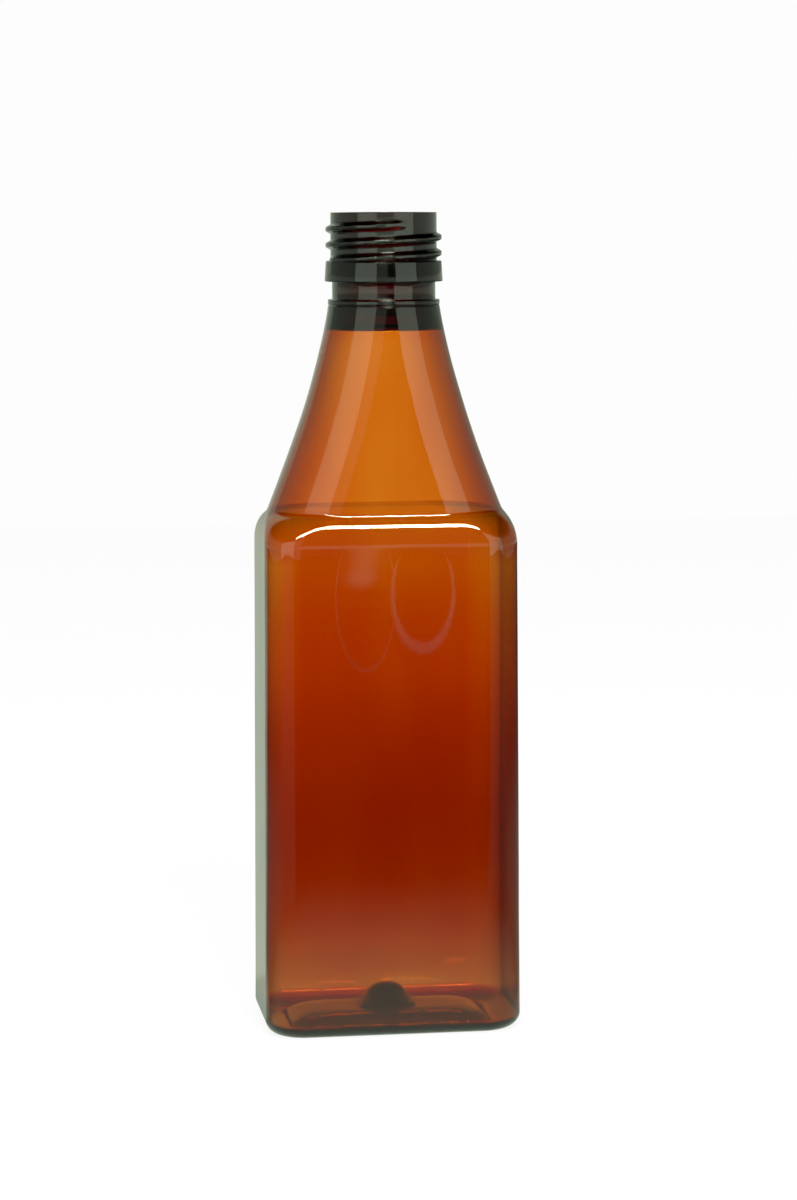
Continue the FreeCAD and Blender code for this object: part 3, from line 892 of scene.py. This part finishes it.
# %% Gloss and dye
PET_IOR = 1.575
POLISHED = 0.015
HAZE_OUTSIDE = 0.26
HAZE_INSIDE = 0.42
DYE_COLOUR = "#f7d600"
DYE_DENSITY = 18500.0
side = add(nodes, "ShaderNodeAttribute", attribute_name="inner_wall")
haze = add(
    nodes, "ShaderNodeMapRange",
    {0: side.outputs["Fac"], 1: 0.0, 2: 1.0, 3: HAZE_OUTSIDE, 4: HAZE_INSIDE})
front_marks = add(nodes, "ShaderNodeMath", {0: marks, 1: on_front}, operation="MULTIPLY")
roughness = add(
    nodes, "ShaderNodeMath", {0: front_marks, 1: haze, 2: POLISHED}, operation="MULTIPLY_ADD")
# The skin's base colour carries the painted edge shade.
skin = add(
    nodes, "ShaderNodeBsdfPrincipled",
    {"Base Color": edge_shade_tint.outputs[2], "Roughness": roughness, "IOR": PET_IOR, "Transmission Weight": 1.0},
)
dye = add(
    nodes, "ShaderNodeVolumeAbsorption", {"Color": srgb(DYE_COLOUR), "Density": DYE_DENSITY})
add(nodes, "ShaderNodeOutputMaterial", {"Surface": skin, "Volume": dye})
print("material nodes:", len(nodes.nodes))

# %% [markdown]
# ## Run the tree
#
# The modifier gets its inputs by each socket's identifier, runs once, and its result is
# kept as a plain mesh. So the finished bottle has no live modifier, and can be measured. It
# should have no open edge. A negative volume says that the faces point inwards, as they do
# when the grid's rows run that way round, and then all of them are turned.

# %% Run the tree and keep a plain mesh
modifier = bottle.modifiers.new("shell", "NODES")
modifier.node_group = tree
for name, (_, value) in SHELL_INPUTS.items():
    modifier[socket_ids[name]] = pet if name == "Material" else value
bpy.context.view_layer.update()
graph = bpy.context.evaluated_depsgraph_get()
shell = bpy.data.meshes.new_from_object(bottle.evaluated_get(graph))
bottle.modifiers.remove(modifier)
bottle.data = shell
bottle.data.name = "bottle_shell"
print("shell:", len(shell.polygons), "faces")

# %% Measure the shell
check = bmesh.new()
check.from_mesh(shell)
volume = check.calc_volume(signed=True) * 1e6
open_edges = sum(1 for edge in check.edges if not edge.is_manifold)
if volume < 0:
    bmesh.ops.reverse_faces(check, faces=check.faces)
    check.to_mesh(shell)
print("shell: %d open edges, %.1f cm3 of plastic" % (open_edges, abs(volume)))
check.free()

# %% Take the place of the CAD bottle
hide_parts("bottle")
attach(bottle, "root")
print("the shell stands for the CAD bottle")

# %% [markdown]
# ## The table
#
# A clear bottle shows its room twice: mirrored in its skin and seen through its wall. This
# room is guessed as white paper among soft panels. It isn't built as a set: the table gives
# a mirror ray, a ray through the wall and the eye each its own level instead. It is darker
# close under the bottle, where the foot shades it, and paler where panels and paper show.

# %% Table top
FLOOR_SIZE = 1.2
floor_mesh = bpy.data.meshes.new("floor")
floor_mesh.from_pydata(
    [(x * FLOOR_SIZE, y * FLOOR_SIZE, 0.0) for x, y in ((-1, -1), (1, -1), (1, 1), (-1, 1))],
    [], [(0, 1, 2, 3)],
)
floor = bpy.data.objects.new("floor", floor_mesh)
bpy.context.scene.collection.objects.link(floor)
print("table: %.1f m wide" % (2 * FLOOR_SIZE))

# %% The table seen through the wall
THROUGH_NEAR = 0.56
THROUGH_FAR = 0.82
FOOT_SHADE = 0.25
FOOTPRINT = (30 * MM, 19 * MM, 1.0)
table = bpy.data.materials.new("white table")
table.use_nodes = True
nodes = table.node_tree
nodes.nodes.clear()
where = add(nodes, "ShaderNodeTexCoord")
away = add(nodes, "ShaderNodeVectorMath", {0: where.outputs["Object"]}, operation="LENGTH")
ray = add(nodes, "ShaderNodeLightPath")
far_back = add(
    nodes, "ShaderNodeMapRange",
    {0: away.outputs["Value"], 1: 0.18, 2: 0.66, 3: THROUGH_NEAR, 4: THROUGH_FAR},
    interpolation_type="SMOOTHSTEP")
in_feet = add(
    nodes, "ShaderNodeVectorMath", {0: where.outputs["Object"], 1: FOOTPRINT}, operation="DIVIDE")
from_middle = add(nodes, "ShaderNodeVectorMath", {0: in_feet}, operation="LENGTH")
under = add(
    nodes, "ShaderNodeMapRange", {0: from_middle.outputs["Value"], 1: 0.7, 2: 1.2, 3: FOOT_SHADE, 4: 1.0},
    interpolation_type="SMOOTHSTEP")
seen_through = add(nodes, "ShaderNodeMath", {0: far_back, 1: under}, operation="MULTIPLY")
print("foot's shade: %.0f by %.0f mm" % (2 * FOOTPRINT[0] / MM, 2 * FOOTPRINT[1] / MM))

# %% [markdown]
# ## The table in the mirror of the skin
#
# A wall seen from slightly above mirrors the table. Just in front of the bottle it is
# bright and veils the foot. Further out it is dim, except under the panels, beside the
# bottle and behind it, where the pale paper begins.

# %% The table mirrored in front and beside
FRONT_MIRROR = 0.85
PANEL_MIRROR = 0.16
SIDE_NEAR = 0.28
SIDE_FAR = 0.07
PANEL_GAP_MIDDLE = -0.055
facing = add(nodes, "ShaderNodeVectorMath", {0: where.outputs["Object"]}, operation="NORMALIZE")
spot = add(nodes, "ShaderNodeSeparateXYZ", {0: facing})
near = add(
    nodes, "ShaderNodeMapRange", {0: away.outputs["Value"], 1: 0.23, 2: 0.04, 3: 0.0, 4: FRONT_MIRROR},
    interpolation_type="SMOOTHSTEP")
in_front = add(nodes, "ShaderNodeMapRange", {0: spot.outputs[1], 1: 0.3, 2: -0.3, 3: 0.0, 4: 1.0})
near_front = add(nodes, "ShaderNodeMath", {0: near, 1: in_front}, operation="MULTIPLY")
off_gap = add(nodes, "ShaderNodeMath", {0: spot.outputs[0], 1: PANEL_GAP_MIDDLE}, operation="SUBTRACT")
gap_side = add(nodes, "ShaderNodeMath", {0: off_gap}, operation="ABSOLUTE")
beyond_gap = add(
    nodes, "ShaderNodeMapRange", {0: gap_side, 1: 0.29, 2: 0.35, 3: 0.0, 4: PANEL_MIRROR},
    interpolation_type="SMOOTHSTEP")
beside = add(
    nodes, "ShaderNodeMapRange", {0: away.outputs["Value"], 1: 0.50, 2: 0.22, 3: SIDE_FAR, 4: SIDE_NEAR},
    interpolation_type="SMOOTHSTEP")
to_side = add(
    nodes, "ShaderNodeMapRange", {0: spot.outputs[1], 1: -0.6, 2: -0.2, 3: 0.0, 4: 1.0},
    interpolation_type="SMOOTHSTEP")
around = add(nodes, "ShaderNodeMix", {0: to_side, 2: beyond_gap, 3: beside})
print("table nodes:", len(nodes.nodes))

# %% The table mirrored behind, where it meets the white paper
PAPER_MIRROR = 0.56
LEFT_PAPER = 0.72
PAPER_SPREAD = 0.3
here = add(nodes, "ShaderNodeSeparateXYZ", {0: where.outputs["Object"]})
off_middle = add(nodes, "ShaderNodeMath", {0: here.outputs[0]}, operation="ABSOLUTE")
spread = add(
    nodes, "ShaderNodeMath", {0: here.outputs[1], 1: -PAPER_SPREAD, 2: off_middle}, operation="MULTIPLY_ADD")
behind = add(
    nodes, "ShaderNodeMapRange", {0: spread, 1: 0.075, 2: 0.045, 3: 0.0, 4: PAPER_MIRROR},
    interpolation_type="SMOOTHSTEP")
backwards = add(nodes, "ShaderNodeMath", {0: here.outputs[1], 1: 0.0}, operation="GREATER_THAN")
only_behind = add(nodes, "ShaderNodeMath", {0: behind, 1: backwards}, operation="MULTIPLY")
left_of = add(nodes, "ShaderNodeMath", {0: here.outputs[0], 1: here.outputs[1]}, operation="ADD")
left_back = add(
    nodes, "ShaderNodeMapRange", {0: left_of, 1: -0.02, 2: 0.02, 3: 0.0, 4: LEFT_PAPER},
    interpolation_type="SMOOTHSTEP")
on_left = add(nodes, "ShaderNodeMath", {0: here.outputs[0], 1: 0.0}, operation="LESS_THAN")
left_paper = add(nodes, "ShaderNodeMath", {0: left_back, 1: on_left}, operation="MULTIPLY")
paper = add(nodes, "ShaderNodeMath", {0: only_behind, 1: left_paper}, operation="MAXIMUM")
all_round = add(nodes, "ShaderNodeMath", {0: around, 1: paper}, operation="MAXIMUM")
mirrored = add(nodes, "ShaderNodeMath", {0: near_front, 1: all_round}, operation="MAXIMUM")
print("table nodes:", len(nodes.nodes))

# %% [markdown]
# ## The table as the eye sees it
#
# Its own glow makes it white, and a little matt grey on top catches the lamps, so the
# bottle's soft shadow still shows. Mirror rays carry the lamps' slightly green tint.

# %% The table's three faces, one for each kind of ray
LIGHT_TINT = "#eeffe6"
TABLE_GREY = "#645a66"
TABLE_LEVEL = 0.877
direct = add(
    nodes, "ShaderNodeMix",
    {0: ray.outputs["Is Transmission Ray"], 2: TABLE_LEVEL, 3: seen_through})
level = add(nodes, "ShaderNodeMix", {0: ray.outputs["Is Reflection Ray"], 2: direct, 3: mirrored})
tint = add(
    nodes, "ShaderNodeMix", {0: ray.outputs["Is Reflection Ray"], 6: srgb("#ffffff"), 7: srgb(LIGHT_TINT)},
    data_type="RGBA")
glow = add(nodes, "ShaderNodeEmission", {0: tint.outputs[2], 1: level})
matt = add(nodes, "ShaderNodeBsdfDiffuse", {0: srgb(TABLE_GREY)})
both = add(nodes, "ShaderNodeAddShader", {0: glow, 1: matt})
shown = add(nodes, "ShaderNodeMixShader", {0: ray.outputs["Is Camera Ray"], 1: glow, 2: both})
add(nodes, "ShaderNodeOutputMaterial", {"Surface": shown})
floor_mesh.materials.append(table)
print("table nodes:", len(nodes.nodes))

# %% [markdown]
# ## The room as the gloss sees it
#
# The room is only light, so the world holds it as rules of direction. The eye sees plain
# white. A mirror ray sees the paper behind, soft panels at both sides with a dark gap
# between them, where the camera would stand, and the table's pale far edge.

# %% The paper behind and the low side walls
SIDE_WALL = 0.4
world = bpy.data.worlds.new("studio")
world.use_nodes = True
bpy.context.scene.world = world
nodes = world.node_tree
nodes.nodes.clear()
heading = add(nodes, "ShaderNodeTexCoord")
toward = add(nodes, "ShaderNodeSeparateXYZ", {0: heading.outputs["Generated"]})
ray = add(nodes, "ShaderNodeLightPath")
backdrop = add(
    nodes, "ShaderNodeMapRange", {0: toward.outputs[1], 1: 0.94, 2: 0.985, 3: 0.0, 4: PAPER_MIRROR},
    interpolation_type="SMOOTHSTEP")
steep = add(nodes, "ShaderNodeMath", {0: toward.outputs[2]}, operation="ABSOLUTE")
low = add(
    nodes, "ShaderNodeMapRange", {0: steep, 1: 0.5, 2: 0.3, 3: 0.0, 4: 1.0},
    interpolation_type="SMOOTHSTEP")
sideways = add(
    nodes, "ShaderNodeMapRange", {0: toward.outputs[1], 1: -0.5, 2: -0.2, 3: 0.0, 4: SIDE_WALL},
    interpolation_type="SMOOTHSTEP")
walls = add(nodes, "ShaderNodeMath", {0: sideways, 1: low}, operation="MULTIPLY")
print("room nodes:", len(nodes.nodes))

# %% The panels in front, their dark gap, and the table's far edge
DARK_GAP = 0.06
PANELS = 0.38
TABLE_EDGE = 0.65
EDGE_DROP = 0.035
GAP_MIDDLE = 0.135
off_gap = add(nodes, "ShaderNodeMath", {0: toward.outputs[0], 1: GAP_MIDDLE}, operation="SUBTRACT")
gap_side = add(nodes, "ShaderNodeMath", {0: off_gap}, operation="ABSOLUTE")
beyond_gap = add(
    nodes, "ShaderNodeMapRange", {0: gap_side, 1: 0.10, 2: 0.18, 3: DARK_GAP, 4: PANELS},
    interpolation_type="SMOOTHSTEP")
far_room = add(nodes, "ShaderNodeMath", {0: beyond_gap, 1: low}, operation="MULTIPLY")
room = add(nodes, "ShaderNodeMath", {0: walls, 1: far_room}, operation="MAXIMUM")
below_level = add(nodes, "ShaderNodeMath", {0: toward.outputs[2], 1: EDGE_DROP}, operation="ADD")
off_level = add(nodes, "ShaderNodeMath", {0: below_level}, operation="ABSOLUTE")
table_edge = add(
    nodes, "ShaderNodeMapRange", {0: off_level, 1: 0.055, 2: 0.03, 3: 0.0, 4: TABLE_EDGE},
    interpolation_type="SMOOTHSTEP")
with_edge = add(nodes, "ShaderNodeMath", {0: room, 1: table_edge}, operation="MAXIMUM")
print("room nodes:", len(nodes.nodes))

# %% The paper goes on round the left, which gives the left edge its pale line
left_back = add(
    nodes, "ShaderNodeMapRange", {0: toward.outputs[1], 1: 0.66, 2: 0.74, 3: 0.0, 4: LEFT_PAPER},
    interpolation_type="SMOOTHSTEP")
on_left = add(nodes, "ShaderNodeMath", {0: toward.outputs[0], 1: 0.0}, operation="LESS_THAN")
left_paper = add(nodes, "ShaderNodeMath", {0: left_back, 1: on_left}, operation="MULTIPLY")
paper = add(nodes, "ShaderNodeMath", {0: backdrop, 1: left_paper}, operation="MAXIMUM")
mirrored = add(nodes, "ShaderNodeMath", {0: paper, 1: with_edge}, operation="MAXIMUM")
print("room nodes:", len(nodes.nodes))

# %% [markdown]
# ## White for the eye
#
# What is looked at straight is plain white. Through the wall it is white too, but dimmer
# overhead, where a real room has its ceiling. The soft fill on matt things is a little less.

# %% White for the eye, and the choice between rays
WHITE = 0.98
OVERHEAD = 0.3
ROOM_FILL = 0.7
clear = add(
    nodes, "ShaderNodeMapRange", {0: steep, 1: 0.6, 2: 0.35, 3: OVERHEAD, 4: WHITE},
    interpolation_type="SMOOTHSTEP")
direct = add(nodes, "ShaderNodeMix", {0: ray.outputs["Is Transmission Ray"], 2: WHITE, 3: clear})
level = add(nodes, "ShaderNodeMix", {0: ray.outputs["Is Reflection Ray"], 2: direct, 3: mirrored})
diffuse = add(nodes, "ShaderNodeMix", {0: ray.outputs["Is Diffuse Ray"], 2: level, 3: ROOM_FILL})
tint = add(
    nodes, "ShaderNodeMix", {0: ray.outputs["Is Reflection Ray"], 6: srgb("#ffffff"), 7: srgb(LIGHT_TINT)},
    data_type="RGBA")
background = add(nodes, "ShaderNodeBackground", {0: tint.outputs[2], 1: diffuse})
add(nodes, "ShaderNodeOutputWorld", {"Surface": background})
print("room nodes:", len(nodes.nodes))

# %% [markdown]
# ## Softboxes
#
# Two broad panels give the upright light bands on the neck and slope. A long strip high in
# front gives the bright line along the pillow shoulder and the crease. The strip alone is
# also seen through the wall, where it lights a thin line on the inside of the heel.

# %% Softbox helper
LIGHT_TARGET = Vector((0, 0, 0.1))


def softbox(name, azimuth, elevation, distance, width, height, watts):
    """A large soft light that faces the bottle. Azimuth 0 is on the camera's side."""
    lamp = bpy.data.lights.new(name, "AREA")
    lamp.shape = "RECTANGLE"
    lamp.size = width
    lamp.size_y = height
    lamp.energy = watts
    lamp.color = srgb(LIGHT_TINT)[:3]
    box = bpy.data.objects.new(name, lamp)
    turn = math.radians(azimuth) - CAMERA_TURN
    rise = math.radians(elevation)
    offset = Vector((
        math.sin(turn) * math.cos(rise), -math.cos(turn) * math.cos(rise), math.sin(rise)))
    box.location = LIGHT_TARGET + offset * distance
    box.rotation_euler = offset.to_track_quat("Z", "Y").to_euler()
    box.visible_camera = False
    box.visible_transmission = False
    bpy.context.scene.collection.objects.link(box)
    print("%s: %.1f W" % (name, watts))
    return box


# %% Softboxes: azimuth, elevation, distance, width, height, watts
softbox("left softbox", -35.5, 2, 1.5, 1.19, 1.3, 5.0)
softbox("right softbox", 45, 2, 1.5, 1.2, 1.3, 5.0)
strip = softbox("overhead strip", 4, 36, 1.5, 1.05, 0.2, 36)
strip.visible_transmission = True

# %% [markdown]
# ## Colours as they are
#
# The Standard view shows each colour as it was written, so the plastic can be judged by
# eye. Everything else in the view stays as Blender sets it.

# %% View settings
bpy.context.scene.view_settings.view_transform = "Standard"
print("view:", bpy.context.scene.view_settings.view_transform)
